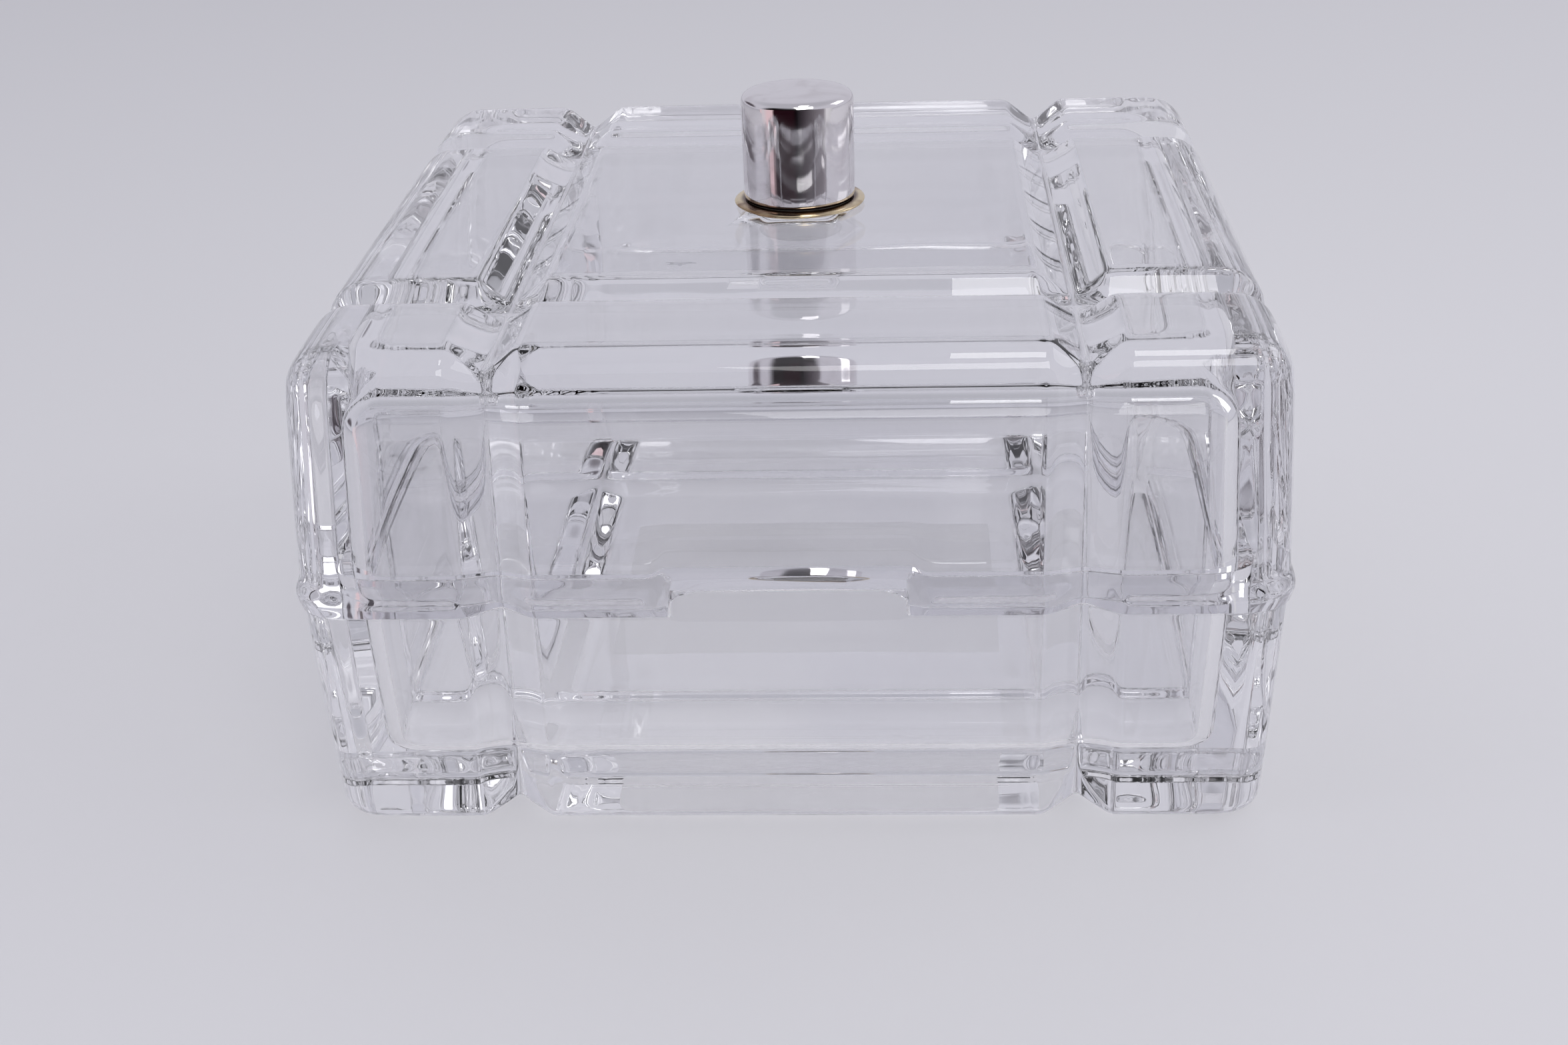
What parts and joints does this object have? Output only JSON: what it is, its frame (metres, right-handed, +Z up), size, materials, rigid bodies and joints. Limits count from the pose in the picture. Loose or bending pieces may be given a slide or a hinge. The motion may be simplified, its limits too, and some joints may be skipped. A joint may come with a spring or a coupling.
{
  "type": "vanity trinket box",
  "caption": "Square clear glass trinket box with V-grooved walls and top, a lift-off lid with a lip bead and front notch, and a small polished metal knob.",
  "frame": {"origin": "middle of the box's underside, on the surface it stands on", "axes": "+Z up, -Y to the front, where the lid's notch and the base's tab are, +X to the right seen from the front"},
  "size_m": [0.1014, 0.1014, 0.0656],
  "materials": {
    "base_glass": "clear, fire polished",
    "lid_glass": "clear, fire polished",
    "silver_plate": "polished silver plate",
    "worn_brass": "worn plating over brass",
    "cement": "set cement"
  },
  "bodies": {
    "base": {"base_tray": "base_glass"},
    "lid": {"lid_shell": "lid_glass", "knob_cap": "silver_plate", "knob_collar": "worn_brass", "knob_cement": "cement"}
  },
  "joints": [
    {"name": "lid_lift", "type": "slide", "parent": "base", "child": "lid", "axis": [0, 0, 1], "range_m": [0, 0.06]}
  ]
}
